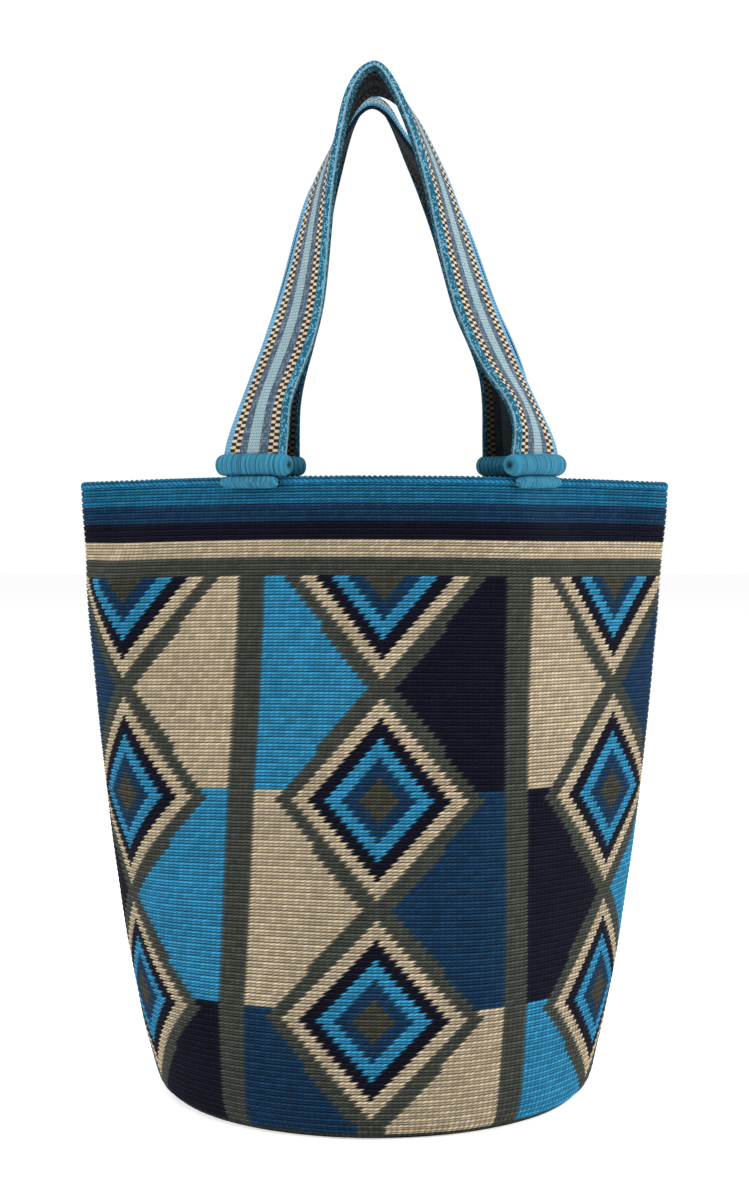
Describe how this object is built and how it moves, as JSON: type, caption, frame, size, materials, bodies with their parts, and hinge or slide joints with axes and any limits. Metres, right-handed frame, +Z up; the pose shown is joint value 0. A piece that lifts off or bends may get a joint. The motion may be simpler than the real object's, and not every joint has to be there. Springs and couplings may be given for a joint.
{
  "type": "wayuu mochila bag",
  "caption": "Open-topped crocheted cotton bucket bag with a geometric diamond pattern, a round base, a flat mouth and twisted woven handles bound to the rim by wrapped yarn.",
  "frame": {"origin": "centre of the box that holds the bag, at the base that it stands on", "axes": "+Z up, front towards -Y, the mouth's long side along X"},
  "size_m": [0.2988, 0.2205, 0.5148],
  "materials": {
    "crochet": "crocheted cotton, tapestry pattern, matt",
    "strap": "woven cotton strap, matt",
    "wrap": "wrapped cotton yarn, soft sheen"
  },
  "bodies": {
    "root": {"bag_body": "crochet", "front_handle": "strap", "back_handle": "strap", "front_left_roll": "wrap", "front_left_seam": "wrap", "front_right_roll": "wrap", "front_right_seam": "wrap", "back_left_roll": "wrap", "back_left_seam": "wrap", "back_right_roll": "wrap", "back_right_seam": "wrap"}
  },
  "joints": []
}
